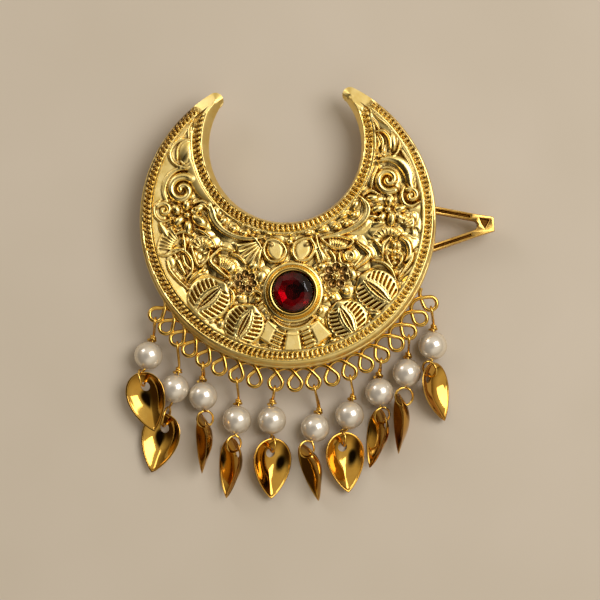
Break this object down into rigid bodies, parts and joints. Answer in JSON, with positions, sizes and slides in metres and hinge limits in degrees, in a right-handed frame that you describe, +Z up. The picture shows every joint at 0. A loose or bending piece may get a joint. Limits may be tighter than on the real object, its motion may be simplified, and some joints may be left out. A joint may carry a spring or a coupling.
{
  "type": "crescent hair ornament",
  "caption": "Crescent hair ornament with cast relief, a round set stone, a fringe of pearl and cupped leaf drops on wire loops, and a spring clip behind.",
  "frame": {"origin": "middle of the part seen from above, on the surface it lies on", "axes": "+X towards the clip's nose, +Y towards the horns, +Z up out of the face"},
  "size_m": [0.0664, 0.0744, 0.0096],
  "materials": {
    "relief_gold": "gold plated brass, cast relief, polished",
    "plain_gold": "gold plated brass, polished",
    "wire_gold": "gold plated drawn wire",
    "leaf_gold": "gold plated pressed sheet, bright polish",
    "spring_steel": "hard drawn spring wire",
    "ruby_glass": "cut and polished dark ruby glass",
    "pearl": "cream pearl coating over a glass bead"
  },
  "bodies": {
    "ornament": {"crescent_front": "relief_gold", "back_plate": "plain_gold", "setting": "plain_gold", "stone": "ruby_glass", "clip_pin": "plain_gold", "clip_spring": "spring_steel", "drop_wire_1": "wire_gold", "drop_wire_2": "wire_gold", "drop_wire_3": "wire_gold", "drop_wire_4": "wire_gold", "drop_wire_5": "wire_gold", "drop_wire_6": "wire_gold", "drop_wire_7": "wire_gold", "drop_wire_8": "wire_gold", "drop_wire_9": "wire_gold", "drop_wire_10": "wire_gold", "pearl_1": "pearl", "pearl_2": "pearl", "pearl_3": "pearl", "pearl_4": "pearl", "pearl_5": "pearl", "pearl_6": "pearl", "pearl_7": "pearl", "pearl_8": "pearl", "pearl_9": "pearl", "pearl_10": "pearl", "leaf_1": "leaf_gold", "leaf_2": "leaf_gold", "leaf_3": "leaf_gold", "leaf_4": "leaf_gold", "leaf_5": "leaf_gold", "leaf_6": "leaf_gold", "leaf_7": "leaf_gold", "leaf_8": "leaf_gold", "leaf_9": "leaf_gold", "leaf_10": "leaf_gold"},
    "jaw": {"clip_jaw": "plain_gold"}
  },
  "joints": [
    {"name": "clip_hinge", "type": "hinge", "parent": "ornament", "child": "jaw", "pos_m": [0.01317, 0.01124, 0.0029], "axis": [-0.0698, 0.9976, 0], "range_deg": [0, 16], "stiffness_Nm_per_rad": 0.06, "springref_deg": -28.65}
  ]
}
